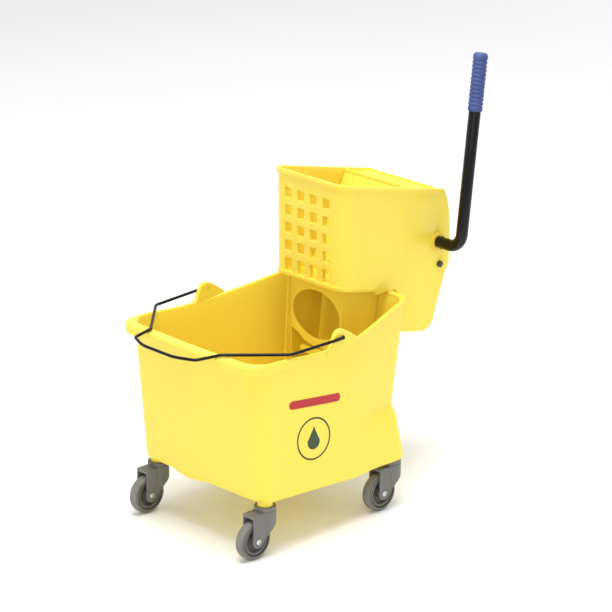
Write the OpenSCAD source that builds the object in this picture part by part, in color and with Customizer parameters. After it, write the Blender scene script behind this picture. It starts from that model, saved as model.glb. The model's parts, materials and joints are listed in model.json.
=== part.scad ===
// Mop bucket on four swivel casters, with a side-press wringer hooked over its rear rim.
// Fore-and-aft stations are measured from the middle of the wheelbase, positive to the rear.
// set_down() then moves every part so that the origin is the middle of the footprint.

/* [Bucket] */
// Half width of the tub at its front corners, near the floor
tub_front_w = 176; // [168:1:180]
// Half width of the tub at the ears, at the rim
tub_mid_w = 188; // [186:1:190]
// Half width of the tub at its rear corners, at the rim
tub_rear_w = 142; // [138:1:148]
// Height of the front rim above the ground
rim_front_z = 393; // [388:1:394]
// Height of the rear rim above the ground
rim_rear_z = 415; // [408:1:418]
// Thickness of the moulded wall
wall = 4; // [3:0.5:5]
// Height of the ears that carry the bail
ear_top_z = 417; // [414:1:422]

/* [Casters] */
// Diameter of the wheels
wheel_d = 76.2; // [72:0.1:78]
// Width of the tread
tread_w = 23; // [20:0.5:24]
// Distance between the left and right swivel axes
caster_track = 304; // [298:1:308]
// Distance between the front and rear swivel axes
wheelbase = 332; // [326:1:336]
// Distance of each axle in front of its swivel axis
caster_trail = 31; // [28:1:33]
// Height of the top of the swivel heads
caster_top_z = 99.7; // [99:0.1:99.7]

/* [Bail] */
// Diameter of the bail wire
bail_d = 6; // [5:0.5:6]
// Reach of the bail from its pivots to its front bar
bail_reach = 272; // [268:1:276]

/* [Wringer] */
// Half width of the basket at its rim
basket_w = 97; // [94:1:100]
// Height of the basket's rim at the front
basket_front_z = 655; // [645:1:656]
// Height of the lever's shaft
shaft_z = 488; // [486:1:490]
// Station of the lever's shaft
shaft_y = 379; // [378:1:381]
// Columns of drain holes
grate_cols = 4; // [3:1:4]
// Lean of the press plate at rest
plate_lean = 29; // [27:1:31]

/* [Lever] */
// Diameter of the lever tube
lever_d = 23.5; // [22:0.5:25]
// Wall thickness of the lever tube
lever_wall = 2.25; // [1.5:0.25:2.5]
// Height of the top of the grip
lever_top_z = 872; // [840:1:900]
// Lean of the lever to the rear
lever_lean = 7; // [4:0.5:9]
// Length of the grip
grip_len = 112; // [100:1:125]

/* [Hidden] */
$fn = 64;
slip = 0.05;     // radial clearance of a turning fit
touch = 0.3;     // gap between bodies that move past each other

// Colours
yellow = "gold";
grey = "dimgray";
black = "black";
steel = "silver";

// Casters
front_y = -wheelbase / 2 + 31;
rear_y = front_y + wheelbase;
side_x = caster_track / 2;
wheel_r = wheel_d / 2;
hub_w = 24;
fork_w = 31;
cheek_t = 3.2;
head_r = 21;
stem_r = 5.5;
stem_top_z = 146;
socket_r = 7.5;
socket_z = 100.1;
socket_top_z = 148;
boss_r = 15;
boss_top_z = 156;
deck_z = 84;
axle_r = 4;
axle_head_r = 5.6;
core_r = wheel_r - 9;

// Bucket
floor_front_z = 112;
floor_low_z = 95;
floor_rear_z = 100.2;
floor_low_y = 75;
floor_t = 5;
ear_y = 28;
ear_x = 192;
ear_t = 9;
pivot_z = ear_top_z - 14.6;
mid_y_tub = 55;
rim_rear_y = 246;

// Bail, a planar frame that turns about the ears
haunch = [[115, 26], [150, 20], [175, 12.5], [190, 5], [198, -4], [206, -13]];
bail_r = bail_d / 2;
bail_x = ear_x + 1 + bail_r;
bail_dip = 1.1;
bail_bow = 17;
bail_grip = 6;   // depth of the bail's ends in the ears

// Wringer
skin = 3.5;
basket_y = 118;
seat_z = rim_z(250) + touch;
rim_fall = 0.226;
bush_flange_r = 19;
bush_r = 15;
shaft_r = lever_d / 2 - lever_wall;
shaft_bore_r = 6.5;
hinge_y = 218;
hinge_z = 430;
hinge_r = 5;
drive_up = 80;
drive_back = 16;
drive_r = 4;
plate_len = 203;
crank_len = 42;
crank_rest = -27;
link_x = 68;
link_t = 6;
crank_x = 60;
crank_t = 7;

// Lever
lever_x = 158;
bend_r = 28;
stub_end_x = 118;
clamp_x = basket_w + 11;
lever_len = (lever_top_z - shaft_z - 3) / cos(lever_lean);
grip_r = 14.2;

// The frame's origin is the middle of the footprint
bail_front_y = ear_y - (bail_reach + bail_bow) * cos(bail_dip) - bail_r;
grip_rear_y = shaft_y + (lever_len - 4) * sin(lever_lean) + grip_r * cos(lever_lean);
origin_y = (bail_front_y + grip_rear_y) / 2;

module set_down() {
    translate([0, -origin_y, 0])
        children();
}

module along_x(x0, x1, r) {
    translate([x0, 0, 0])
        rotate([0, 90, 0])
            cylinder(h = x1 - x0, r = r);
}

module both_sides() {
    children();
    mirror([1, 0, 0])
        children();
}

// ---- outlines -------------------------------------------------------------

function unit(v) = v / norm(v);

// Arc of radius r that rounds corner p between its neighbours a and b
function fillet(a, p, b, r, n) =
    let (u = unit(a - p), v = unit(b - p), half = acos(u * v) / 2,
         c = p + unit(u + v) * r / sin(half), t = r / tan(half),
         s = p + u * t - c, e = p + v * t - c,
         a0 = atan2(s.y, s.x), turn = atan2(s.x * e.y - s.y * e.x, s * e))
    [for (i = [0 : n]) c + r * [cos(a0 + turn * i / n), sin(a0 + turn * i / n)]];

// Points that divide the line from a to b into n + 1 equal parts
function spread(a, b, n) = [for (i = [1 : n]) a + (b - a) * i / (n + 1)];

// Right half of the tub's outline, from the middle of the front to the middle of the rear
function half_outline(front, bow, fw, mw, rw, rear, fr, rr) =
    let (f = [fw, front], m = [mw, mid_y_tub], b = [rw, rear],
         flat = fw - fr,
         turn = 180 - acos(unit(f - m) * unit(b - m)))
    let (corner = fillet([0, front], f, m, fr, 8),
         middle = fillet(f, m, b, 60 / tan(turn / 2), 4),
         back = fillet(m, b, [0, rear], rr, 8))
    concat(
        [for (i = [0 : 3]) let (x = flat * i / 4) [x, front - bow * (1 - pow(i / 4, 2))]],
        corner, spread(corner[8], middle[0], 4), middle, spread(middle[4], back[0], 4), back,
        [[0, rear]]);

function inset(ring, d) = [for (p = ring)
    let (c = [0, 20], v = p - c) c + v * (1 - d / norm(v))];

// Height of the rim, and of the floor's underside, at station y
function ramp(y, a, b) = let (t = max(0, min(1, (y - a) / (b - a)))) t * t * (3 - 2 * t);
function rim_z(y) = rim_front_z - 8 * ramp(y, -150, -20)
    + (rim_rear_z - rim_front_z + 8) * ramp(y, 20, 300) * 1.16;
function floor_z(y) = let (t = max(0, min(1, (y + 160) / (floor_low_y + 160))))
    floor_front_z + (floor_low_z - floor_front_z) * t
        + (floor_rear_z - floor_low_z) * ramp(y, floor_low_y, 145);
function skirt(y) = 19 - 10 * ramp(y, -120, -30);

function raised(ring, z_of) = [for (p = ring) [p.x, p.y, z_of(p.y)]];
function mirrored(h) = concat(h, [for (i = [len(h) - 2 : -1 : 1]) [-h[i].x, h[i].y, h[i].z]]);

function backwards(list) = [for (i = [len(list) - 1 : -1 : 0]) list[i]];

// Closed solid through a stack of half outlines, lowest first
module stacked(halves) {
    rings = [for (h = halves) mirrored(h)];
    n = len(rings[0]);
    last = len(rings) - 1;
    half_n = len(halves[0]) - 1;
    points = [for (ring = rings) for (p = ring) p];
    sides = [for (k = [0 : last - 1]) for (i = [0 : n - 1]) let (j = (i + 1) % n)
        each [[k * n + i, k * n + j, (k + 1) * n + j], [k * n + i, (k + 1) * n + j, (k + 1) * n + i]]];
    bottom = [for (i = [0 : half_n - 1]) let (a = i, b = i + 1, c = (n - i - 1) % n, d = (n - i) % n)
        i == 0 ? [a, c, b] : i == half_n - 1 ? [a, d, b] : [a, d, c, b]];
    top = [for (f = bottom) [for (i = [len(f) - 1 : -1 : 0]) last * n + f[i]]];
    polyhedron(points = points, faces = [for (f = concat(sides, bottom, top)) backwards(f)], convexity = 6);
}

// ---- bucket ---------------------------------------------------------------

// Outline of the tapering tub at height z, shrunk by d
function tub(z, d) = let (t = (z - 110) / 240)
    half_outline(-163 - 17 * t + d, 3 + t, tub_front_w + 5 * t - d,
        tub_front_w - 3 + (tub_mid_w - tub_front_w - 1) * t - d, tub_rear_w - 5 + 9 * t - d, 212 + 28 * t - d,
        36 + 4 * t - d / 2, 30 + 2 * t - d / 2);

// The same outline with its rear corners swollen over the casters
function swollen(z) = let (t = (z - 110) / 240, h = lookup(z, haunch))
    half_outline(-163 - 17 * t, 3 + t, tub_front_w + 5 * t,
        tub_front_w - 3 + (tub_mid_w - tub_front_w - 1) * t,
        max(tub_rear_w - 5 + 9 * t, side_x + h), max(212 + 28 * t, rear_y + h), 36 + 4 * t,
        lookup(z, [[115, 27], [150, 28], [175, 31], [198, 33], [206, 31]]));

function rim_inside(d) = half_outline(-181 + d, 5, tub_front_w + 7 - d, tub_mid_w - 1 - d, tub_rear_w - d,
    rim_rear_y - d, 40 - d / 2, 34 - d / 2);
function flange(d) = half_outline(-200 + d, 8, tub_front_w + 10 - d, tub_mid_w + 2.5 - d, tub_rear_w + 5 - d,
    rim_rear_y + 6 - d, 36 - d / 2, 36 - d / 2);

module tub_outside() {
    stacked([
        raised(inset(swollen(110), 9), function (y) floor_z(y)),
        raised(inset(swollen(110), 2.5), function (y) floor_z(y) + 2.5),
        raised(swollen(112), function (y) floor_z(y) + 9),
        raised(swollen(135), function (y) 135),
        raised(swollen(155), function (y) 155),
        raised(swollen(172), function (y) 172),
        raised(swollen(186), function (y) 186),
        raised(swollen(198), function (y) 198),
        raised(swollen(206), function (y) 206),
        raised(swollen(352), function (y) 352),
        raised(flange(0), function (y) rim_z(y) - skirt(y)),
        raised(flange(0), function (y) rim_z(y) - 3),
        raised(inset(flange(0), 3), function (y) rim_z(y))]);
}

module tub_inside() {
    stacked([
        raised(inset(tub(110, wall), 12), function (y) floor_z(y) + floor_t),
        raised(tub(110, wall), function (y) floor_z(y) + floor_t + 12),
        raised(tub(350, wall), function (y) 350),
        raised(rim_inside(wall), function (y) rim_z(y) - 4),
        raised(rim_inside(wall - 4), function (y) rim_z(y) + 0.5),
        raised(rim_inside(wall - 4), function (y) rim_z(y) + 30)]);
}

module ear_outline() {
    polygon([[-40, -45], [-38, -38], [-31, -31], [-26, -21], [-22, -10], [-17, -2.5], [-10, 0.7], [-5, 1],
        [2, 0], [10, -4], [23, -13], [35, -21], [42, -27], [42, -45]]);
}

// Lip under the front of the tub, which a hand tips it by
module tipping_lip() {
    translate([0, -157, 0])
        rotate([90, 0, 0])
            linear_extrude(8)
                polygon([[-94, 125], [-84, 119], [-70, 113.4], [-56, 109.5], [-41, 107.5], [-27, 107.3],
                    [-12, 108.3], [16, 112.3], [48, 117.5], [80, 122]]);
}

module ear() {
    translate([ear_x, ear_y, ear_top_z])
        rotate([90, 0, -90])
            mirror([1, 0, 0])
                linear_extrude(ear_t)
                    ear_outline();
}

module at_casters() {
    for (sx = [-1, 1], y = [front_y, rear_y])
        translate([sx * side_x, y, 0])
            children();
}

module bucket() {
    color(yellow)
        set_down()
            difference() {
                union() {
                    difference() {
                        tub_outside();
                        tub_inside();
                    }
                    at_casters()
                        translate([0, 0, socket_z])
                            cylinder(h = boss_top_z - socket_z, r = boss_r);
                    both_sides() ear();
                    tipping_lip();
                }
                at_casters()
                    translate([0, 0, 90])
                        cylinder(h = socket_top_z - 90, r = socket_r);
                both_sides()
                    translate([0, ear_y, pivot_z])
                        along_x(ear_x - bail_grip - 0.4, ear_x + 1, bail_r + slip);
            }
}

module stem_sockets() {
    color(steel)
        set_down()
            at_casters()
                difference() {
                    translate([0, 0, socket_z])
                        cylinder(h = socket_top_z - socket_z, r = socket_r);
                    translate([0, 0, 99])
                        cylinder(h = stem_top_z - 99 + 1, r = stem_r + slip);
                }
}

// ---- casters --------------------------------------------------------------

module at_caster(sx, y) {
    set_down()
        translate([sx * side_x, y, 0])
            children();
}

// Side view of the fork
module fork_side() {
    translate([-caster_trail, wheel_r])
        circle(r = 13.5);
    polygon([[-43.5, 40], [-41.5, deck_z + 6], [head_r, deck_z + 6], [head_r, 82], [17, 74], [11, 65],
        [-3.6, 54], [-19, 32]]);
}

// Plan of the fork, whose flat cheeks run into the round of the swivel head
module fork_plan() {
    translate([-fork_w / 2, -60])
        square([fork_w, 60]);
    circle(r = head_r);
}

module fork() {
    gap = fork_w / 2 - cheek_t;
    color(grey)
        difference() {
            union() {
                intersection() {
                    linear_extrude(deck_z + 6)
                        fork_plan();
                    translate([-head_r, 0, 0])
                        rotate([90, 0, 90])
                            linear_extrude(2 * head_r)
                                fork_side();
                }
                translate([0, 0, deck_z - 5])
                    rotate_extrude()
                        polygon([[0, 0], [head_r, 0], [head_r, 12], [head_r - 1, 12.6],
                            [head_r - 1, 13.6], [head_r, 14.2], [head_r, caster_top_z - deck_z + 4],
                            [head_r - 1, caster_top_z - deck_z + 5], [0, caster_top_z - deck_z + 5]]);
            }
            translate([0, -caster_trail, wheel_r])
                along_x(-gap, gap, wheel_r + 3);
            translate([-gap, -60, 0])
                cube([2 * gap, 48, deck_z]);
            translate([0, -caster_trail, wheel_r])
                along_x(-fork_w, fork_w, axle_r);
            translate([0, 0, deck_z - 5])
                cylinder(h = 40, r = stem_r);
        }
}

module stem() {
    color(steel)
        translate([0, 0, deck_z - 5])
            cylinder(h = stem_top_z - deck_z + 5, r = stem_r);
}

module axle() {
    end = fork_w / 2;
    color(steel)
        translate([0, -caster_trail, wheel_r])
            rotate([0, 90, 0])
                difference() {
                    rotate_extrude()
                        polygon([[0, -end - 2.4], [axle_head_r - 1.6, -end - 2.4], [axle_head_r, -end - 1],
                            [axle_head_r, -end], [axle_r, -end], [axle_r, end], [axle_head_r, end],
                            [axle_head_r, end + 1], [axle_head_r - 1.6, end + 2.4], [0, end + 2.4]]);
                    for (z = [-end - 3, end + 0.8])
                        translate([0, 0, z])
                            cylinder(h = 2.2, r = 2.4, $fn = 6);
                }
}

module wheel_core() {
    half = hub_w / 2;
    side = [[axle_r + slip, half], [10, half], [11, half - 1], [11.5, 4], [core_r - 8, 3.4], [core_r - 6, 9],
        [core_r, 9]];
    color(grey)
        translate([0, -caster_trail, wheel_r])
            rotate([0, 90, 0])
                rotate_extrude()
                    polygon(concat(side, [for (i = [len(side) - 1 : -1 : 0]) [side[i].x, -side[i].y]]));
}

module tread() {
    half = tread_w / 2;
    side = [[core_r, half - 3], [core_r + 1.2, half - 3], [core_r + 2, half - 0.6],
        [wheel_r - 4.5, half - 0.6], [wheel_r - 3.8, half - 1.6], [wheel_r - 1.2, half - 4],
        [wheel_r, half - 7.5]];
    color(grey)
        translate([0, -caster_trail, wheel_r])
            rotate([0, 90, 0])
                rotate_extrude()
                    polygon(concat(side, [for (i = [len(side) - 1 : -1 : 0]) [side[i].x, -side[i].y]]));
}

// ---- bail -----------------------------------------------------------------

// Round wire along flat points, as one closed skin
module flat_sweep(path, r, sides) {
    last = len(path) - 1;
    points = [for (i = [0 : last])
        let (along = unit(path[min(i + 1, last)] - path[max(i - 1, 0)]), across = [-along.y, along.x])
        for (k = [0 : sides - 1])
            let (a = 360 * k / sides, q = path[i] + across * r * cos(a))
            [q.x, q.y, r * sin(a)]];
    skin = [for (i = [0 : last - 1]) for (k = [0 : sides - 1])
        let (a = i * sides + k, b = i * sides + (k + 1) % sides)
        each [[a, b, b + sides], [a, b + sides, a + sides]]];
    ends = [[for (k = [sides - 1 : -1 : 0]) k], [for (k = [0 : sides - 1]) last * sides + k]];
    polyhedron(points = points, faces = [for (f = concat(skin, ends)) backwards(f)], convexity = 6);
}

module bail() {
    start = [ear_x - bail_grip, 0];
    corners = [start, [bail_x, 0], [bail_x - 0.5, -24], [190, -130], [98, -222], [85, -bail_reach],
        [44, -bail_reach - bail_bow], [-44, -bail_reach - bail_bow]];
    bends = [0, bail_x - ear_x, 30, 16, 14, 12, 70];
    half = concat([start],
        [for (i = [1 : len(bends) - 1])
            each fillet(corners[i - 1], corners[i], corners[i + 1], bends[i], 5)]);
    other_half = [for (p = backwards(half)) [-p.x, p.y]];
    color(black)
        set_down()
            translate([0, ear_y, pivot_z])
                rotate([bail_dip, 0, 0])
                    flat_sweep(concat(half, other_half), bail_r, 14);
}

// ---- wringer --------------------------------------------------------------

function basket_rim_z(y) = basket_front_z - rim_fall * (y - basket_y);

// Side view of the basket's side panels: stations and heights
basket_side = [[basket_y, 444], [134, 441], [205, 426], [209, seat_z], [262, seat_z], [271, 407],
    [275, 330], [282, 324], [342, 311], [360, 317], [369, 330], [378, 360], [400, 418], [416, 446],
    [420, 470], [418, 505], [407, 560], [404, 573], [399, 583], [391, 590], [382, basket_rim_z(382)],
    [basket_y, basket_front_z]];

module side_slab(points, x0, x1) {
    translate([x0, 0, 0])
        rotate([90, 0, 90])
            linear_extrude(x1 - x0)
                polygon(points);
}

// Plan of the basket, rounded at its front corners and at its rear
module basket_plan(d) {
    w = basket_w - d;
    front = basket_y + d;
    rear = 424 - d;
    corner = 30 - d;
    back = 18 - d;
    polygon(concat(
        fillet([-w, rear], [-w, front], [w, front], corner, 10),
        fillet([-w, front], [w, front], [w, rear], corner, 10),
        fillet([w, front], [w, rear], [-w, rear], back, 8),
        fillet([w, rear], [-w, rear], [-w, front], back, 8)));
}

grate_pitch_x = 34.6;
grate_pitch_z = 35.4;
grate_top_z = 610;

module drain_holes() {
    for (c = [0 : grate_cols - 1])
        for (r = [0 : 4])
            translate([(c - (grate_cols - 1) / 2) * grate_pitch_x - 10, basket_y - 5,
                    grate_top_z - r * grate_pitch_z - (r == 4 ? 17 : 11)])
                cube([20, 25, r == 4 ? 28 : 22]);
}

// Side view of the space inside the housing
cavity_side = [[basket_y - 20, 451], [134, 446], [232, 425], [264, 422.5], [276, 409], [280, 335], [286, 328],
    [342, 316], [356, 321], [364, 332], [373, 361], [395, 420], [411, 448], [416, 470], [414, 504],
    [403, 556], [396, 577], [388, 585], [380, 590], [380, 700], [basket_y - 20, 700]];

module housing_walls() {
    intersection() {
        difference() {
            translate([0, 0, 250])
                linear_extrude(450)
                    basket_plan(0);
            intersection() {
                translate([0, 0, 240])
                    linear_extrude(470)
                        basket_plan(skin);
                side_slab(cavity_side, -200, 200);
            }
        }
        side_slab(basket_side, -200, 200);
    }
}

module rim_lip() {
    intersection() {
        difference() {
            translate([0, 0, 500])
                linear_extrude(250)
                    basket_plan(-4);
            translate([0, 0, 490])
                linear_extrude(270)
                    basket_plan(skin);
        }
        side_slab([[100, basket_rim_z(100) - 9], [397, basket_rim_z(397) - 9], [392, basket_rim_z(392)],
            [100, basket_rim_z(100)]], -150, 150);
    }
}

// Thick pad around the drain holes
module grate_pad() {
    w = grate_cols * grate_pitch_x / 2 + 1;
    translate([-w, basket_y + 1, 446])
        cube([2 * w, 9, 181]);
}

// Lip along the foot of the basket's outside
module foot_lip() {
    intersection() {
        difference() {
            translate([0, 0, 400])
                linear_extrude(60)
                    basket_plan(-1.8);
            translate([0, 0, 390])
                linear_extrude(80)
                    basket_plan(skin);
        }
        side_slab([[110, 444], [134, 441], [205, 426], [205, 433], [134, 448], [110, 451]], -150, 150);
    }
}

// Shelf across the rear of the basket, which covers the linkage
module rear_shelf() {
    w = basket_w - skin + 1;
    side_slab([[326, 591.5], [326, 596.5], [329, 596.5], [331, 594.5], [352, 594], [353.5, 595.6],
        [356.5, 595.4], [358, 593.6], [368, 593], [369.5, 594.5], [372.5, 594.2], [374, 592.4], [384, 591],
        [392, 588], [392, 584], [352, 589]], -w, w);
}

// Thickening behind the two pockets above the shaft
module pocket_backs() {
    both_sides()
        translate([basket_w - skin - 4, shaft_y - 14, shaft_z])
            cube([5, 28, 78]);
}

// Shallow pocket that runs out up the side panel above the shaft
module pocket() {
    translate([basket_w + 13.6, shaft_y + 4, shaft_z + 12])
        rotate([0, 4.5, 0])
            cylinder(h = 90, r = 18.5);
}

// Window in the apron, with a round-ended bar across it
module apron_window() {
    translate([0, 155, 0])
        rotate([90, 0, 0])
            linear_extrude(30)
                difference() {
                    polygon([[-70, 328], [-54, 322], [-34, 309], [-12, 304], [36, 304], [36, 252], [-62, 252],
                        [-70, 260]]);
                    translate([-38, 290])
                        circle(r = 7);
                    translate([-38, 283])
                        square([90, 14]);
                }
}

// Skirt that hangs inside the tub below the basket, with a round drain
module apron() {
    difference() {
        union() {
            translate([-76, 143, 232])
                cube([152, skin, 210]);
            both_sides()
                side_slab([[127, 232], [212, 232], [235, 417], [222, 424], [140, 442]], 76 - skin, 76);
        }
        translate([0, 160, 369])
            rotate([90, 0, 0])
                linear_extrude(30)
                    polygon([for (a = [0 : 7.5 : 352.5]) [66 * cos(a), 49.5 * sin(a)]]);
        apron_window();
    }
}

module wringer_housing() {
    color(yellow)
        set_down()
            difference() {
                union() {
                    housing_walls();
                    rim_lip();
                    grate_pad();
                    foot_lip();
                    rear_shelf();
                    pocket_backs();
                    apron();
                    both_sides()
                        translate([0, shaft_y, shaft_z])
                            along_x(basket_w - skin - 5, basket_w - 1, bush_r + 5);
                }
                drain_holes();
                both_sides() pocket();
                translate([0, hinge_y, hinge_z])
                    along_x(skin - basket_w, basket_w - skin, 9.6);
                translate([0, shaft_y, shaft_z])
                    along_x(-basket_w - 20, basket_w + 20, bush_r);
                translate([0, 384, 441])
                    along_x(-basket_w - 20, basket_w + 20, 4);
                translate([0, hinge_y, hinge_z])
                    along_x(1 - basket_w, basket_w - 1, hinge_r);
            }
}

module shaft_bushes() {
    color(grey)
        set_down()
            both_sides()
                translate([0, shaft_y, shaft_z])
                    difference() {
                        union() {
                            along_x(basket_w - skin - 5, basket_w, bush_r);
                            along_x(basket_w, basket_w + 2.5, bush_flange_r);
                        }
                        along_x(basket_w - 20, basket_w + 10, shaft_r + slip);
                    }
}

module tie_bolt() {
    color(black)
        set_down()
            translate([0, 384, 441]) {
                along_x(-basket_w - 9, basket_w, 4);
                along_x(basket_w, basket_w + 4.5, 6.5);
            }
}

module tie_nut() {
    color(black)
        set_down()
            translate([-basket_w - 6, 384, 441])
                rotate([0, 90, 0])
                    difference() {
                        cylinder(h = 6, r = 7.5, $fn = 6);
                        translate([0, 0, -1])
                            cylinder(h = 8, r = 4);
                    }
}

// ---- press plate and its linkage --------------------------------------------

module on_plate() {
    translate([0, hinge_y, hinge_z])
        rotate([-plate_lean, 0, 0])
            children();
}

module press_plate() {
    w = basket_w - skin - 1.5;
    color(yellow)
        set_down()
            on_plate()
                difference() {
                    union() {
                        translate([-w, -5, 0])
                            cube([2 * w, 4, plate_len]);
                        along_x(-w, w, 9);
                        for (x = [-77 : 14 : 77])
                            translate([x - 2, -8, 14])
                                cube([4, 4, plate_len - 26]);
                        translate([-w, -6.5, plate_len - 5])
                            cube([2 * w, 12, 5]);
                        both_sides()
                            for (x = [link_x - 10, link_x + 5])
                                translate([x, -2, drive_up - 14])
                                    cube([5, drive_back + 11, 28]);
                    }
                    along_x(-w - 1, w + 1, hinge_r + slip);
                    translate([0, drive_back, drive_up])
                        along_x(-w, w, drive_r);
                }
}

module plate_hinge_pin() {
    color(steel)
        set_down()
            translate([0, hinge_y, hinge_z])
                along_x(1 - basket_w, basket_w - 1, hinge_r);
}

module plate_drive_pins() {
    color(steel)
        set_down()
            on_plate()
                translate([0, drive_back, drive_up])
                    both_sides()
                        along_x(link_x - 12, link_x + 12, drive_r);
}

crank_pin_pos = [shaft_y - crank_len * sin(crank_rest), shaft_z + crank_len * cos(crank_rest)];
drive_pin_pos = [hinge_y + drive_up * sin(plate_lean) + drive_back * cos(plate_lean),
    hinge_z + drive_up * cos(plate_lean) - drive_back * sin(plate_lean)];

module crank_arms() {
    color(steel)
        set_down()
            both_sides()
                difference() {
                    translate([crank_x - crank_t, shaft_y, shaft_z])
                        rotate([crank_rest * -1, 0, 0])
                            rotate([90, 0, 90])
                                linear_extrude(crank_t)
                                    union() {
                                        circle(r = 17);
                                        translate([-8, 0]) square([16, crank_len]);
                                        translate([0, crank_len]) circle(r = 8);
                                    }
                    translate([0, shaft_y, shaft_z])
                        along_x(0, 100, shaft_r);
                    translate([0, crank_pin_pos.x, crank_pin_pos.y])
                        along_x(0, 100, 4);
                }
}

module crank_pins() {
    color(steel)
        set_down()
            both_sides()
                translate([0, crank_pin_pos.x, crank_pin_pos.y])
                    along_x(crank_x - crank_t, link_x + link_t / 2 + 1, 4);
}

module link_bars() {
    d = drive_pin_pos - crank_pin_pos;
    span = norm(d);
    tilt = atan2(d.y, d.x);
    color(steel)
        set_down()
            both_sides()
                translate([link_x - link_t / 2, crank_pin_pos.x, crank_pin_pos.y])
                    rotate([90, 0, 90])
                        rotate(tilt)
                            linear_extrude(link_t)
                                difference() {
                                    union() {
                                        circle(r = 8);
                                        translate([0, -6]) square([span, 12]);
                                        translate([span - 3.5, 0]) circle(r = 10);
                                        translate([span + 3.5, 0]) circle(r = 10);
                                        translate([span - 3.5, -10]) square([7, 20]);
                                    }
                                    circle(r = 4 + slip);
                                    translate([span - 2.7, 0]) circle(r = 6.8);
                                    translate([span + 2.7, 0]) circle(r = 6.8);
                                    translate([span - 2.7, -6.8]) square([5.4, 13.6]);
                                }
}

// ---- lever ------------------------------------------------------------------

// Places what turns with the lever, in the lever's own leaning frame
module on_lever() {
    set_down()
        translate([0, shaft_y, shaft_z])
            rotate([-lever_lean, 0, 0])
                children();
}

module clamp_hole() {
    translate([clamp_x, 0, -30])
        cylinder(h = 60, r = 3);
}

module cross_shaft() {
    color(steel)
        on_lever()
            difference() {
                along_x(-basket_w - 8, stub_end_x, shaft_r);
                along_x(-basket_w - 9, stub_end_x + 1, shaft_bore_r);
                clamp_hole();
            }
}

module shaft_clip() {
    color(steel)
        on_lever()
            difference() {
                along_x(-basket_w - 6, -basket_w - 2.8, 13);
                along_x(-basket_w - 10, -basket_w + 10, shaft_r);
            }
}

// Run of the lever tube from the shaft round the bend and up, with its two ends let out by e
module lever_run(r, e) {
    along_x(basket_w + 2.8 - e, lever_x - bend_r, r);
    translate([lever_x - bend_r, 0, bend_r])
        rotate([90, 0, 0])
            rotate([0, 0, -90])
                rotate_extrude(angle = 90)
                    translate([bend_r, 0])
                        circle(r = r);
    translate([lever_x, 0, bend_r])
        cylinder(h = lever_len - bend_r - 6 + e, r = r);
}

module lever_tube() {
    color(black)
        on_lever()
            difference() {
                lever_run(lever_d / 2, 0);
                lever_run(lever_d / 2 - lever_wall, 1);
                clamp_hole();
            }
}

module lever_pin() {
    color(black)
        on_lever()
            translate([clamp_x, 0, -lever_d / 2 - 0.8])
                cylinder(h = lever_d + 1.6, r = 3);
}

module lever_grip() {
    r = grip_r;
    base = lever_len - grip_len;
    rings = 12;
    color("royalblue")
        on_lever()
            translate([lever_x, 0, base])
                difference() {
                    rotate_extrude()
                        polygon(concat([[0, 0], [r - 1, 0], [r, 1.5]],
                            [for (i = [0 : rings - 1]) let (z = 8 + i * 8)
                                each [[r, z], [r - 1.2, z + 1.5], [r - 1.2, z + 3], [r, z + 4.5]]],
                            [[r, grip_len - 4], [r - 3, grip_len], [0, grip_len]]));
                    translate([0, 0, -1])
                        cylinder(h = grip_len - 6 + 1, r = lever_d / 2);
                }
}

// ---- parts ------------------------------------------------------------------

bucket();
stem_sockets();
at_caster(1, front_y) fork();  // fork_front_right
at_caster(1, front_y) stem();  // stem_front_right
at_caster(1, front_y) wheel_core();  // wheel_front_right
at_caster(1, front_y) tread();  // tread_front_right
at_caster(1, front_y) axle();  // axle_front_right
at_caster(-1, front_y) fork();  // fork_front_left
at_caster(-1, front_y) stem();  // stem_front_left
at_caster(-1, front_y) wheel_core();  // wheel_front_left
at_caster(-1, front_y) tread();  // tread_front_left
at_caster(-1, front_y) axle();  // axle_front_left
at_caster(1, rear_y) fork();  // fork_rear_right
at_caster(1, rear_y) stem();  // stem_rear_right
at_caster(1, rear_y) wheel_core();  // wheel_rear_right
at_caster(1, rear_y) tread();  // tread_rear_right
at_caster(1, rear_y) axle();  // axle_rear_right
at_caster(-1, rear_y) fork();  // fork_rear_left
at_caster(-1, rear_y) stem();  // stem_rear_left
at_caster(-1, rear_y) wheel_core();  // wheel_rear_left
at_caster(-1, rear_y) tread();  // tread_rear_left
at_caster(-1, rear_y) axle();  // axle_rear_left
bail();
wringer_housing();
shaft_bushes();
tie_bolt();
tie_nut();
press_plate();
plate_hinge_pin();
plate_drive_pins();
cross_shaft();
shaft_clip();
crank_arms();
crank_pins();
link_bars();
lever_tube();
lever_pin();
lever_grip();
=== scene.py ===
import json
import math

import bmesh
import bpy
from mathutils import Matrix, Vector


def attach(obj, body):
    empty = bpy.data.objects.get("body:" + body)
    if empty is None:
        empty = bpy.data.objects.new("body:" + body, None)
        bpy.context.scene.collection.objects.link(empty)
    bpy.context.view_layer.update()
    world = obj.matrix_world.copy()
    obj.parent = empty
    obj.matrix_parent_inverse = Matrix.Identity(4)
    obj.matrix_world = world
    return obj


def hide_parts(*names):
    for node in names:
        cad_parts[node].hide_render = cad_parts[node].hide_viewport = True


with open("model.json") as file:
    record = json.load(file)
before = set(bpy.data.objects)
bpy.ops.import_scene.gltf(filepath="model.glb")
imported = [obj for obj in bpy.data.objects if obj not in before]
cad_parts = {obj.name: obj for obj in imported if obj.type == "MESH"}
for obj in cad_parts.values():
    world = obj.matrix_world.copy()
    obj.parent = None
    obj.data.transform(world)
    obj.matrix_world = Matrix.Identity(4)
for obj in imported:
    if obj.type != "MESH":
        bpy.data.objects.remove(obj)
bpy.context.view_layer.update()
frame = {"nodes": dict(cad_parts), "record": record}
MM = 0.001
JOINTS = {j["name"]: j for j in frame["record"]["behaviour"]["joints"]}
SLOTS = {s["node"]: s["material_slot"] for s in frame["record"]["subparts"]}
BODY_OF = {n: b for b, nodes in frame["record"]["behaviour"]["bodies"].items() for n in nodes}

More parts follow.
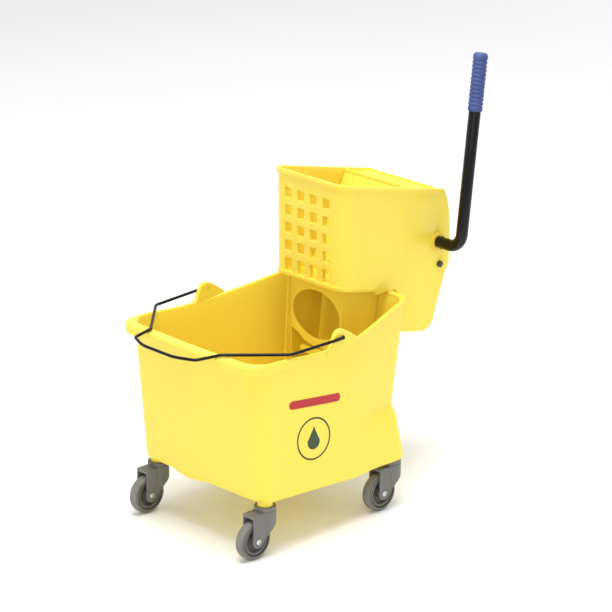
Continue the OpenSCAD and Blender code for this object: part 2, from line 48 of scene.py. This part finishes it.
# Stations run fore and aft from the middle of the wheelbase, in mm: the bail's pivot, then the axles.
EAR_Y = 28.0
AXLE_Y = 166.0
WHEEL_R = 38.1
ORIGIN_Y = EAR_Y - JOINTS["bail_swing"]["pos_m"][1] / MM
PIVOT_Z = JOINTS["bail_swing"]["pos_m"][2] / MM


def at(x, y, z):
    """A point of the shared frame, in m, from its x, station and height in mm."""
    return Vector((x * MM, (y - ORIGIN_Y) * MM, z * MM))


# ---- materials ----------------------------------------------------------------

# Near-black colour of the painted shade in the wheels' hub recesses and tread grooves
PAINTED_SHADE = (0.012, 0.012, 0.011)


class Graph:
    """A material's node tree, with short ways to add to it."""

    def __init__(self, name):
        self.mat = bpy.data.materials.new(name)
        self.mat.use_nodes = True
        self.nodes = self.mat.node_tree.nodes
        self.links = self.mat.node_tree.links
        self.bsdf = self.nodes["Principled BSDF"]
        self.coord = self.nodes.new("ShaderNodeTexCoord").outputs["Object"]

    def noise(self, scale, detail=3.0, rough=0.5, stretch=None):
        source = self.coord
        if stretch:
            mapping = self.nodes.new("ShaderNodeMapping")
            mapping.inputs["Scale"].default_value = stretch
            self.links.new(source, mapping.inputs["Vector"])
            source = mapping.outputs["Vector"]
        node = self.nodes.new("ShaderNodeTexNoise")
        node.inputs["Scale"].default_value = scale
        node.inputs["Detail"].default_value = detail
        node.inputs["Roughness"].default_value = rough
        self.links.new(source, node.inputs["Vector"])
        return node.outputs["Fac"]

    def remap(self, value, lo, hi, out_lo, out_hi):
        node = self.nodes.new("ShaderNodeMapRange")
        for i, v in enumerate((lo, hi, out_lo, out_hi), start=1):
            node.inputs[i].default_value = v
        self.links.new(value, node.inputs[0])
        return node.outputs[0]

    def mix(self, fac, a, b):
        node = self.nodes.new("ShaderNodeMix")
        node.data_type = "RGBA"
        self.links.new(fac, node.inputs[0])
        for socket, value in ((node.inputs[6], a), (node.inputs[7], b)):
            if isinstance(value, tuple):
                socket.default_value = (*value, 1.0)
            else:
                self.links.new(value, socket)
        return node.outputs[2]

    def math(self, operation, *values):
        node = self.nodes.new("ShaderNodeMath")
        node.operation = operation
        for socket, value in zip(node.inputs, values):
            if isinstance(value, (int, float)):
                socket.default_value = value
            else:
                self.links.new(value, socket)
        return node.outputs[0]

    def painted_shade_rings(self, base, rings):
        """Paints shade into rings round the nearest axle, where the hub recess and the tread grooves lie in
        shade.

        Each ring is its radius and half width in mm, and how far it darkens.
        """
        split = self.nodes.new("ShaderNodeSeparateXYZ")
        self.links.new(self.coord, split.inputs[0])
        station = self.math("ADD", split.outputs["Y"], ORIGIN_Y * MM)
        along = self.math("SUBTRACT", self.math("ABSOLUTE", station), AXLE_Y * MM)
        above = self.math("SUBTRACT", split.outputs["Z"], WHEEL_R * MM)
        square = self.math("ADD", self.math("MULTIPLY", along, along), self.math("MULTIPLY", above, above))
        radius = self.math("SQRT", square)
        for middle, half, amount in rings:
            off = self.math("ABSOLUTE", self.math("SUBTRACT", radius, middle * MM))
            # painted shade: each ring blends the colour towards near black
            shade_mask = self.remap(off, 0.3 * half * MM, half * MM, amount, 0.0)
            base = self.mix(shade_mask, base, PAINTED_SHADE)
        return base

    def bump(self, height, strength, distance, under=None):
        node = self.nodes.new("ShaderNodeBump")
        node.inputs["Strength"].default_value = strength
        node.inputs["Distance"].default_value = distance
        self.links.new(height, node.inputs["Height"])
        if under is not None:
            self.links.new(under, node.inputs["Normal"])
        return node.outputs["Normal"]

    def surface(self, color, rough, normal, metallic=0.0, specular=0.5, coat=0.0, soft=0.0):
        self.links.new(color, self.bsdf.inputs["Base Color"])
        self.links.new(rough, self.bsdf.inputs["Roughness"])
        self.links.new(normal, self.bsdf.inputs["Normal"])
        self.bsdf.inputs["Metallic"].default_value = metallic
        self.bsdf.inputs["Specular IOR Level"].default_value = specular
        if soft:
            self.bsdf.inputs["Subsurface Weight"].default_value = soft
            self.bsdf.inputs["Subsurface Radius"].default_value = (1.0, 0.8, 0.35)
            self.bsdf.inputs["Subsurface Scale"].default_value = 0.003
        self.bsdf.inputs["Coat Weight"].default_value = coat
        return self.mat


def shade(color, factor):
    return tuple(min(1.0, c * factor) for c in color)


def moulded(name, color, rough=(0.34, 0.46), grain=900.0, scuff=0.25, vary=0.05, specular=0.4,
            soft=0.0, rings=()):
    """Injection moulded plastic: soft flow variation, a spark-eroded grain, and faint rubbed scuffs."""
    g = Graph(name)
    flow = g.noise(5.0, 2.0, 0.5, stretch=(1.0, 1.0, 0.35))
    base = g.mix(g.remap(flow, 0.3, 0.7, 0.0, 1.0), shade(color, 1.0 - vary), shade(color, 1.0 + vary))
    rubbed = g.noise(140.0, 4.0, 0.65, stretch=(0.25, 1.0, 1.6))
    marks = g.remap(rubbed, 0.66, 0.80, 0.0, scuff)
    base = g.mix(marks, base, shade(color, 0.80))
    # painted shade in rings round the axle, where rings are given
    if rings:
        base = g.painted_shade_rings(base, rings)
    speck = g.noise(grain, 2.0)
    gloss = g.remap(g.noise(22.0, 3.0), 0.3, 0.7, *rough)
    wide = g.bump(flow, 0.12, 0.003)
    return g.surface(base, gloss, g.bump(speck, 0.10, 0.0002, wide), specular=specular, soft=soft)


def metal(name, color, rough=(0.22, 0.38), brush=(1.0, 18.0, 18.0)):
    """Plated steel with a brushed run, dull patches and a few specks of dirt."""
    g = Graph(name)
    run = g.noise(160.0, 3.0, 0.6, stretch=brush)
    patch = g.noise(60.0, 3.0)
    base = g.mix(g.remap(patch, 0.35, 0.7, 0.0, 1.0), color, shade(color, 0.72))
    base = g.mix(g.remap(g.noise(420.0, 2.0), 0.70, 0.80, 0.0, 0.6), base, (0.16, 0.13, 0.10))
    return g.surface(base, g.remap(run, 0.3, 0.7, *rough), g.bump(run, 0.08, 0.0002), metallic=1.0)


def coated(name, color, rough=(0.10, 0.22), coat=0.4, specular=0.5):
    """Gloss powder coat on steel: slight orange peel, and thin rubbed places."""
    g = Graph(name)
    peel = g.noise(330.0, 2.0)
    worn = g.noise(75.0, 4.0, 0.6)
    base = g.mix(g.remap(worn, 0.62, 0.82, 0.0, 0.5), color, tuple(c + 0.006 for c in color))
    gloss = g.remap(g.noise(30.0, 3.0), 0.3, 0.7, *rough)
    return g.surface(base, gloss, g.bump(peel, 0.06, 0.0003), coat=coat, specular=specular)


def rubber(name, color, rough=(0.55, 0.75), dust=(0.30, 0.28, 0.24), amount=0.35, rings=()):
    """Rubber with a fine grain, a little dust, and rubbed high places."""
    g = Graph(name)
    tone = g.noise(40.0, 3.0)
    base = g.mix(g.remap(tone, 0.3, 0.7, 0.0, 1.0), shade(color, 0.85), shade(color, 1.12))
    base = g.mix(g.remap(g.noise(230.0, 4.0, 0.65), 0.52, 0.75, 0.0, amount), base, dust)
    # painted shade in rings round the axle, where rings are given
    if rings:
        base = g.painted_shade_rings(base, rings)
    grain = g.noise(1300.0, 2.0)
    return g.surface(base, g.remap(tone, 0.3, 0.7, *rough), g.bump(grain, 0.16, 0.0003), specular=0.3)


YELLOW = (0.880, 0.705, 0.078)
MATERIALS = {
    "yellow_plastic": moulded("yellow_plastic", YELLOW, scuff=0.12, vary=0.025, soft=0.35),
    "bush_plastic": moulded("bush_plastic", (0.80, 0.58, 0.05), scuff=0.12, vary=0.03),
    "fork_plastic": moulded("fork_plastic", (0.155, 0.152, 0.142), rough=(0.38, 0.52), scuff=0.3, vary=0.08),
    # the core's rings are painted shade in its hub recess and along its edge by the tread
    "core_plastic": moulded("core_plastic", (0.120, 0.118, 0.110), rough=(0.40, 0.55), scuff=0.3, vary=0.08,
                             rings=((16.5, 7.0, 0.55), (28.8, 1.2, 0.7))),
    # the tread's rings are painted shade in its groove by the core and at its shoulder
    "tread_rubber": rubber("tread_rubber", (0.205, 0.202, 0.186),
                           rings=((29.7, 1.8, 0.85), (34.2, 1.0, 0.6))),
    "zinc": metal("zinc", (0.66, 0.67, 0.69)),
    "black_wire": coated("black_wire", (0.004, 0.004, 0.005), rough=(0.22, 0.34), coat=0.0, specular=0.22),
    "black_tube": coated("black_tube", (0.002, 0.002, 0.003), rough=(0.10, 0.20), coat=0.0, specular=0.32),
    "black_steel": coated("black_steel", (0.020, 0.020, 0.022), rough=(0.30, 0.42), coat=0.1),
    "blue_grip": rubber("blue_grip", (0.050, 0.078, 0.225), rough=(0.45, 0.62),
                        dust=(0.08, 0.12, 0.28), amount=0.2),
    "print_red": moulded("print_red", (0.42, 0.012, 0.014), rough=(0.30, 0.40), grain=2200.0,
                         scuff=0.5, vary=0.10),
    "print_green": moulded("print_green", (0.020, 0.050, 0.012), rough=(0.30, 0.40), grain=2200.0,
                           scuff=0.5, vary=0.10),
}

# ---- mesh helpers --------------------------------------------------------------


def make(name, mesh, body, slot, replaces=(), smooth=32.0):
    """Turns a bmesh into a shown piece that rides on a body."""
    bmesh.ops.recalc_face_normals(mesh, faces=mesh.faces)
    data = bpy.data.meshes.new(name)
    mesh.to_mesh(data)
    mesh.free()
    for polygon in data.polygons:
        polygon.use_smooth = True
    data.set_sharp_from_angle(angle=math.radians(smooth))
    piece = bpy.data.objects.new(name, data)
    bpy.context.scene.collection.objects.link(piece)
    data.materials.append(MATERIALS[slot])
    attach(piece, body)
    if replaces:
        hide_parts(*replaces)
    return piece


def loft(mesh, rings, closed=True, caps=(False, False)):
    """Joins rings of equal length with quads, and returns their vertices."""
    rows = [[mesh.verts.new(p) for p in ring] for ring in rings]
    n = len(rows[0])
    for a, b in zip(rows, rows[1:]):
        for i in range(n if closed else n - 1):
            j = (i + 1) % n
            mesh.faces.new((a[i], a[j], b[j], b[i]))
    if caps[0]:
        mesh.faces.new(rows[0][::-1])
    if caps[1]:
        mesh.faces.new(rows[-1])
    return rows


def soften_edges(mesh, degrees, bevel, segments):
    """Rounds the edges that join two faces at more than this angle; the bevel is in mm."""
    limit = math.radians(degrees)
    edges = [e for e in mesh.edges if len(e.link_faces) == 2 and e.calc_face_angle(0.0) > limit]
    bmesh.ops.bevel(mesh, geom=edges, offset=bevel * MM, offset_type="OFFSET", segments=segments,
                    profile=0.5, affect="EDGES", clamp_overlap=True)


def refined(node, bevel, segments=3, sharp=38.0):
    """The CAD node's own shape with its hard edges rounded as moulding or machining leaves them."""
    mesh = bmesh.new()
    mesh.from_mesh(frame["nodes"][node].data)
    bmesh.ops.remove_doubles(mesh, verts=mesh.verts, dist=2e-6)
    bmesh.ops.dissolve_limit(mesh, angle_limit=math.radians(0.4), verts=mesh.verts, edges=mesh.edges)
    soften_edges(mesh, sharp, bevel, segments)
    return make(node + "_finished", mesh, BODY_OF[node], SLOTS[node], (node,), smooth=sharp)


# ---- the tub --------------------------------------------------------------------


def unit(v):
    return v.normalized()


def fillet(a, p, b, radius, n):
    """Points of the arc that rounds corner p."""
    u, v = unit(a - p), unit(b - p)
    half = u.angle(v) / 2
    centre = p + unit(u + v) * radius / math.sin(half)
    s, e = p + u * radius / math.tan(half) - centre, p + v * radius / math.tan(half) - centre
    turn = math.atan2(s.x * e.y - s.y * e.x, s.dot(e))
    start = math.atan2(s.y, s.x)
    return [centre + radius * Vector((math.cos(start + turn * i / n), math.sin(start + turn * i / n)))
            for i in range(n + 1)]


TUB_FRONT, TUB_MID, TUB_REAR, MID_Y, RIM_REAR_Y = 176.0, 188.0, 142.0, 55.0, 246.0
WALL = 4.0
SIDE_X, REAR_Y = 152.0, 197.0


def spread(a, b, n):
    return [a.lerp(b, (i + 1) / (n + 1)) for i in range(n)]


def half_outline(front, bow, fw, mw, rw, rear, fr, rr):
    """Right half of an outline, from the middle of the front to the middle of the rear."""
    f, m, b = Vector((fw, front)), Vector((mw, MID_Y)), Vector((rw, rear))
    flat = fw - fr
    turn = unit(f - m).angle(unit(b - m))
    bend = 60 / math.tan((math.pi - turn) / 2)
    points = [Vector((flat * i / 12, front - bow * (1 - (i / 12) ** 2))) for i in range(12)]
    points += fillet(Vector((0, front)), f, m, fr, 16)
    middle = fillet(f, m, b, bend, 8)
    points += spread(points[-1], middle[0], 14) + middle
    corner = fillet(m, b, Vector((0, rear)), rr, 16)
    points += spread(points[-1], corner[0], 14) + corner
    return points + spread(points[-1], Vector((0, rear)), 8) + [Vector((0, rear))]


def ramp(y, a, b):
    t = max(0.0, min(1.0, (y - a) / (b - a)))
    return t * t * (3 - 2 * t)


def rim_z(y):
    return 393 - 8 * ramp(y, -150, -20) + 30 * ramp(y, 20, 300) * 1.16


def floor_z(y):
    return 112 - 17 * max(0.0, min(1.0, (y + 160) / 235)) + 5.2 * ramp(y, 75, 145)


def skirt(y):
    return 19 - 10 * ramp(y, -120, -30)


def table(x, rows):
    """Straight-line reading of a small table."""
    if x <= rows[0][0]:
        return rows[0][1]
    for (x0, v0), (x1, v1) in zip(rows, rows[1:]):
        if x <= x1:
            return v0 + (v1 - v0) * (x - x0) / (x1 - x0)
    return rows[-1][1]


HAUNCH = [(115, 26), (150, 20), (175, 12.5), (190, 5), (198, -4), (206, -13)]
HAUNCH_ROUND = [(115, 27), (150, 28), (175, 31), (198, 33), (206, 31)]


def tub(z, d=0.0, swell=False):
    t = (z - 110) / 240
    rear_w, rear, round_r = TUB_REAR - 5 + 9 * t - d, 212 + 28 * t - d, 30 + 2 * t - d / 2
    if swell:
        h = table(z, HAUNCH)
        rear_w, rear, round_r = max(rear_w, SIDE_X + h), max(rear, REAR_Y + h), table(z, HAUNCH_ROUND)
    return half_outline(-163 - 17 * t + d, 3 + t, TUB_FRONT + 5 * t - d,
                        TUB_FRONT - 3 + (TUB_MID - TUB_FRONT - 1) * t - d,
                        rear_w, rear, 36 + 4 * t - d / 2, round_r)


def rim_inside(d=0.0):
    return half_outline(-181 + d, 5, TUB_FRONT + 7 - d, TUB_MID - 1 - d, TUB_REAR - d, RIM_REAR_Y - d,
                        40 - d / 2, 34 - d / 2)


def flange(d=0.0):
    return half_outline(-200 + d, 8, TUB_FRONT + 10 - d, TUB_MID + 2.5 - d, TUB_REAR + 5 - d,
                        RIM_REAR_Y + 6 - d, 36 - d / 2, 36 - d / 2)


def inset(ring, d):
    centre = Vector((0, 20))
    return [centre + (p - centre) * (1 - d / (p - centre).length) for p in ring]


def between(a, b, t):
    return [p.lerp(q, t) for p, q in zip(a, b)]


def raised(half, z_of):
    """A whole ring at the heights that z_of gives, from its right half."""
    right = [at(p.x, p.y, z_of(p.y)) for p in half]
    left = [Vector((-p.x, p.y, p.z)) for p in right[-2:0:-1]]
    return right + left


def quarter(n):
    return [(math.sin(math.pi / 2 * i / n), 1 - math.cos(math.pi / 2 * i / n)) for i in range(n + 1)]


def tub_rings():
    """The tub's whole skin, from the middle of its underside over the rim to the middle of its floor."""
    rings = []
    foot = tub(112, swell=True)
    for s, c in quarter(5):
        rings.append(raised(inset(foot, 8.0 * (1 - s)), lambda y, c=c: floor_z(y) + 8.0 * c))
    for z in (130, 142, 154, 164, 174, 182, 189, 194, 198, 201, 204, 207, 215, 235, 270, 310, 345):
        rings.append(raised(tub(z, swell=True), lambda y, z=z: z))
    under = tub(364)
    rings.append(raised(under, lambda y: rim_z(y) - skirt(y) - 5.0))
    for s, c in quarter(3)[1:]:
        rings.append(raised(between(under, flange(2.2), 0.10 * c),
                            lambda y, s=s: rim_z(y) - skirt(y) - 5.0 + 4.0 * s))
    rings.append(raised(between(under, flange(2.2), 0.94), lambda y: rim_z(y) - skirt(y)))
    for s, c in quarter(4):
        rings.append(raised(flange(1.8 * (1 - s)), lambda y, c=c: rim_z(y) - skirt(y) + 1.8 * c))
    rings.append(raised(flange(), lambda y: rim_z(y) - 9.0 + 4.5 * ramp(y, -120, -30)))
    for s, c in quarter(5):
        rings.append(raised(flange(3.0 * c), lambda y, s=s: rim_z(y) - 3.0 + 3.0 * s))
    for s, c in quarter(5):
        rings.append(raised(rim_inside(3.2 * s - 0.2), lambda y, c=c: rim_z(y) - 3.6 * c))
    inner_top, inner_low = rim_inside(WALL), tub(110, WALL)
    for t in (0.02, 0.06, 0.14, 0.3, 0.5, 0.7, 0.85, 0.95):
        rings.append(raised(between(inner_top, inner_low, t),
                            lambda y, t=t: (rim_z(y) - 8.0) * (1 - t) + (floor_z(y) + 20.0) * t))
    for s, c in quarter(6):
        rings.append(raised(inset(inner_low, 12.0 * c), lambda y, s=s: floor_z(y) + 17.0 - 12.0 * s))
    return rings


def strip_cap(mesh, ring):
    """Closes a symmetric ring with strips from its right side to its left."""
    n = len(ring)
    half = n // 2
    for i in range(half):
        a, b, c, d = ring[i], ring[i + 1], ring[(n - i - 1) % n], ring[(n - i) % n]
        corners = [a, b, c] if i == 0 else [a, b, d] if i == half - 1 else [a, b, c, d]
        mesh.faces.new(corners)


def column(mesh, x, y, z0, z1, r, bore_r, n=40):
    """An upright moulded post with a rounded top and a blind bore in its foot."""
    def ring(radius, z):
        turns = [2 * math.pi * i / n for i in range(n)]
        return [at(x + radius * math.cos(a), y + radius * math.sin(a), z) for a in turns]

    rings = [ring(bore_r, z0 + 48), ring(bore_r, z0), ring(r, z0)]
    for a in [math.pi / 2 * i / 5 for i in range(6)]:
        rings.append(ring(r - 3 + 3 * math.cos(a), z1 - 3 + 3 * math.sin(a)))
    rows = loft(mesh, rings)
    mesh.faces.new(rows[-1])
    mesh.faces.new(rows[0][::-1])


def softened(outline, rounds=2):
    """Cuts the corners of a closed outline, so that it runs smoothly."""
    for _ in range(rounds):
        cut = []
        for p, q in zip(outline, outline[1:] + outline[:1]):
            cut += [(p[0] * 0.8 + q[0] * 0.2, p[1] * 0.8 + q[1] * 0.2),
                    (p[0] * 0.2 + q[0] * 0.8, p[1] * 0.2 + q[1] * 0.8)]
        outline = cut
    return outline


def slab(mesh, loops, place, depth, bevel, segments=3):
    """Adds a flat plate with softened edges: its outline, then its holes, laid out by place(u, v, w)."""
    part = bmesh.new()
    edges = []
    for loop in loops:
        verts = [part.verts.new(place(u, v, 0.0)) for u, v in loop]
        edges += [part.edges.new((a, b)) for a, b in zip(verts, verts[1:] + verts[:1])]
    bmesh.ops.triangle_fill(part, use_beauty=True, edges=edges)
    grown = bmesh.ops.extrude_face_region(part, geom=part.faces[:])
    shift = place(0, 0, depth) - place(0, 0, 0)
    moved = [g for g in grown["geom"] if isinstance(g, bmesh.types.BMVert)]
    bmesh.ops.translate(part, verts=moved, vec=shift)
    bmesh.ops.recalc_face_normals(part, faces=part.faces)
    soften_edges(part, 50, bevel, segments)
    data = bpy.data.meshes.new("slab")
    part.to_mesh(data)
    part.free()
    mesh.from_mesh(data)
    bpy.data.meshes.remove(data)


# Outlines of a bail ear and of the lip on the front rim, and the ear's rise above the pivot
EAR = [(-40, -45), (-38, -38), (-31, -31), (-26, -21), (-22, -10), (-17, -2.5), (-10, 0.7),
       (-5, 1), (2, 0), (10, -4), (23, -13), (35, -21), (42, -27), (42, -45)]
LIP = [(-94, 125), (-84, 119), (-70, 113.4), (-56, 109.5), (-41, 107.5), (-27, 107.3),
       (-12, 108.3), (16, 112.3), (48, 117.5), (80, 122)]
EAR_RISE = 14.6
EAR_X = 192.0
EAR_THICK = 9.0
BORE_R = 3.06
BORE_FLOOR = 2.6


def ear(mesh, side):
    """A bail ear: a plate with softened edges, and a round bore that stops short of its inner face."""
    turns = [2 * math.pi * i / 32 for i in range(32)]
    hole = [(BORE_R * math.cos(a), BORE_R * math.sin(a) - EAR_RISE) for a in turns]
    slab(mesh, [softened(EAR), hole],
         lambda u, v, w: at(side * (EAR_X - w), EAR_Y + u, PIVOT_Z + EAR_RISE + v), EAR_THICK, 1.0)
    middle = at(side * (EAR_X - EAR_THICK + BORE_FLOOR / 2), EAR_Y, PIVOT_Z)
    bmesh.ops.create_cone(mesh, cap_ends=True, segments=32, radius1=BORE_R * MM, radius2=BORE_R * MM,
                          depth=BORE_FLOOR * MM,
                          matrix=Matrix.Translation(middle) @ Matrix.Rotation(math.pi / 2, 4, "Y"))


def build_bucket():
    mesh = bmesh.new()
    rows = loft(mesh, tub_rings())
    strip_cap(mesh, rows[0])
    strip_cap(mesh, rows[-1])
    make("bucket_tub", mesh, "bucket", "yellow_plastic", ("bucket",), smooth=50)
    mesh = bmesh.new()
    for side in (-1, 1):
        for y in (-135.0, REAR_Y):
            column(mesh, side * SIDE_X, y, 100.15, 156.0, 15.0, 7.5)
        ear(mesh, side)
    slab(mesh, [softened(LIP)], lambda u, v, w: at(u, -165.0 + w, v), 8.0, 2.2, 5)
    make("bucket_bosses", mesh, "bucket", "yellow_plastic")


def wall_x(y, z):
    """Half width of the tub's outside at a station and height."""
    ring = tub(z, swell=True)
    for p, q in zip(ring, ring[1:]):
        if min(p.y, q.y) <= y <= max(p.y, q.y) and p.x > 100 and abs(q.y - p.y) > 1e-6:
            return p.x + (q.x - p.x) * (y - p.y) / (q.y - p.y)
    return ring[20].x


# How far a print stands off the wall, in mm, and how much it drops towards the rear
PRINT_OFF = 0.25
PRINT_FALL = 0.12


def printed(name, slot, cells):
    """A thin printed mark that follows the right-hand wall: rows of (station, height) points."""
    mesh = bmesh.new()
    loft(mesh, [[at(wall_x(y, z) + PRINT_OFF, y, z) for y, z in row] for row in cells], closed=False)
    make(name, mesh, "bucket", slot)


def build_prints():
    """Plain marks on the right-hand wall: a bar, and a ring with a drop in it."""
    bar = []
    steps, length, round_end = 48, 134, 8.5
    for k in range(steps + 1):
        t = k / steps
        y = -100 + length * t
        middle = 295.5 - 16.5 * t
        along = min(length * t, length * (1 - t))
        half = round_end
        if along < round_end:
            half = math.sqrt(max(0.3, round_end ** 2 - (round_end - along) ** 2))
        bar.append([(y, middle + half * s) for s in (-1, -0.33, 0.33, 1)])
    printed("print_bar", "print_red", bar)
    cy, cz, n = -34.0, 212.0, 72
    ring = []
    for a in [2 * math.pi * i / n for i in range(n + 1)]:
        ring.append([(cy + r * math.cos(a), cz - PRINT_FALL * r * math.cos(a) + r * math.sin(a))
                     for r in (40.0, 41.2, 42.4, 43.6)])
    printed("print_ring", "print_green", ring)
    drop = []
    for k in range(25):
        t = k / 24
        z = cz - 22 + 48 * t
        low = 16.0
        if t < 0.36:
            half = math.sqrt(max(0.05, low ** 2 - (low - 48 * t) ** 2))
        else:
            half = low * (1 - (t - 0.36) / 0.64) ** 1.15 + 0.2
        drop.append([(cy + half * s, z - PRINT_FALL * half * s) for s in (-1, -0.5, 0, 0.5, 1)])
    printed("print_drop", "print_green", drop)


# ---- the bail -------------------------------------------------------------------


def build_bail():
    """The wire, swept along the same flat path as the frame's, with finer bends."""
    reach, bow, r, dip = 272.0, 17.0, 3.0, math.radians(1.1)
    x = 196.0
    corners = [Vector(c) for c in ((186, 0), (x, 0), (x - 0.5, -24), (190, -130), (98, -222), (85, -reach),
                                   (44, -reach - bow), (-44, -reach - bow))]
    bends = [0, 4, 30, 16, 14, 12, 70]
    half = corners[:1]
    for i in range(1, len(bends)):
        half += fillet(corners[i - 1], corners[i], corners[i + 1], bends[i], 10)
    path = half + [Vector((-p.x, p.y)) for p in reversed(half)]
    rings, sides = [], 20
    for i, p in enumerate(path):
        along = unit(path[min(i + 1, len(path) - 1)] - path[max(i - 1, 0)])
        across = Vector((-along.y, along.x))
        ring = []
        for k in range(sides):
            w = 2 * math.pi * k / sides
            q = p + across * r * math.cos(w)
            up = r * math.sin(w)
            ring.append(at(q.x, EAR_Y + q.y * math.cos(dip) - up * math.sin(dip),
                           PIVOT_Z + q.y * math.sin(dip) + up * math.cos(dip)))
        rings.append(ring)
    mesh = bmesh.new()
    loft(mesh, rings, caps=(True, True))
    make("bail_wire", mesh, "bail", "black_wire", ("bail",), smooth=50)


# ---- everything else from its CAD shape ------------------------------------------

# How far each node's hard edges are rounded, in mm
ROUNDED = {
    "wringer_housing": 0.9,
    "press_plate": 0.8,
    "shaft_bushes": 0.5,
    "tie_bolt": 0.6,
    "tie_nut": 0.5,
    "plate_hinge_pin": 0.4,
    "plate_drive_pins": 0.4,
    "cross_shaft": 0.5,
    "shaft_clip": 0.4,
    "crank_arms": 0.7,
    "crank_pins": 0.4,
    "link_bars": 0.7,
    "lever_tube": 0.6,
    "lever_pin": 0.4,
    "lever_grip": 0.5,
    "stem_sockets": 0.2,
}

build_bucket()
build_prints()
build_bail()
for node, amount in ROUNDED.items():
    refined(node, amount)
for corner in ("front_right", "front_left", "rear_right", "rear_left"):
    refined("fork_" + corner, 0.9)
    refined("stem_" + corner, 0.3)
    refined("axle_" + corner, 0.5)
    refined("wheel_" + corner, 0.5)
    refined("tread_" + corner, 0.6)

# ---- stage, light and camera -------------------------------------------------------

# Each lamp's name, place in m, power in W and size in m
LAMPS = (
    ("key", (2.9, -2.8, 1.9), 20, 2.4),
    ("fill", (-3.0, -2.6, 2.0), 9, 3.0),
    ("back", (-0.8, 3.0, 3.4), 20, 2.4),
    ("top", (0.3, -0.4, 3.2), 88, 1.6),
)
WORLD_STRENGTH = 0.72
# Where the camera looks, in m to the right and up, and the scale it sees there
PAN_RIGHT = 0.0838
PAN_UP = 0.3977
PX_PER_MM = 0.5137
IMAGE_PX = 612


def floor_and_light():
    ground = Graph("studio_floor")
    tone = ground.noise(1.5, 2.0)
    color = ground.mix(tone, (0.93, 0.93, 0.93), (0.96, 0.96, 0.96))
    rough = ground.remap(tone, 0.0, 1.0, 0.75, 0.9)
    ground.surface(color, rough, ground.bump(ground.noise(60.0), 0.02, 0.0005), specular=0.1)
    mesh = bmesh.new()
    profile = [(-7.0, 0.0), (3.2, 0.0)]
    bend = [math.pi / 2 * i / 12 for i in range(1, 13)]
    profile += [(3.2 + 1.5 * math.sin(a), 1.5 - 1.5 * math.cos(a)) for a in bend]
    profile += [(4.7, 7.0)]
    loft(mesh, [[Vector((x, y, z)) for x in (-9.0, 9.0)] for y, z in profile], closed=False)
    data = bpy.data.meshes.new("studio_floor")
    mesh.to_mesh(data)
    mesh.free()
    for polygon in data.polygons:
        polygon.use_smooth = True
    data.materials.append(ground.mat)
    floor = bpy.data.objects.new("studio_floor", data)
    bpy.context.scene.collection.objects.link(floor)
    world = bpy.data.worlds.new("studio_world")
    world.use_nodes = True
    world.node_tree.nodes["Background"].inputs[0].default_value = (1.0, 1.0, 1.0, 1.0)
    world.node_tree.nodes["Background"].inputs[1].default_value = WORLD_STRENGTH
    bpy.context.scene.world = world
    target = Vector((0, 0, 0.4))
    for name, spot, energy, size in LAMPS:
        light = bpy.data.lights.new(name, "AREA")
        light.energy = energy
        light.size = size
        lamp = bpy.data.objects.new(name, light)
        lamp.location = spot
        lamp.rotation_euler = (target - Vector(spot)).to_track_quat("-Z", "Y").to_euler()
        bpy.context.scene.collection.objects.link(lamp)


def camera():
    """Stands 46.3 degrees round from the front and 19.4 degrees above, 5.5 m back."""
    azimuth, height, distance = math.radians(46.32), math.radians(19.36), 5.5
    right = Vector((math.cos(azimuth), math.sin(azimuth), 0))
    level = Vector((math.sin(azimuth), -math.cos(azimuth), 0))
    back = level * math.cos(height) + Vector((0, 0, math.sin(height)))
    up = back.cross(right)
    eye = right * PAN_RIGHT + up * PAN_UP + back * distance + Vector((0, -ORIGIN_Y * MM, 0))
    data = bpy.data.cameras.new("view")
    data.sensor_width = 36.0
    data.lens = PX_PER_MM * distance / MM * data.sensor_width / IMAGE_PX
    data.clip_end = 60.0
    cam = bpy.data.objects.new("view", data)
    cam.location = eye
    cam.rotation_euler = (-back).to_track_quat("-Z", "Y").to_euler()
    bpy.context.scene.collection.objects.link(cam)
    bpy.context.scene.camera = cam


floor_and_light()
camera()
bpy.context.scene.view_settings.view_transform = "Standard"
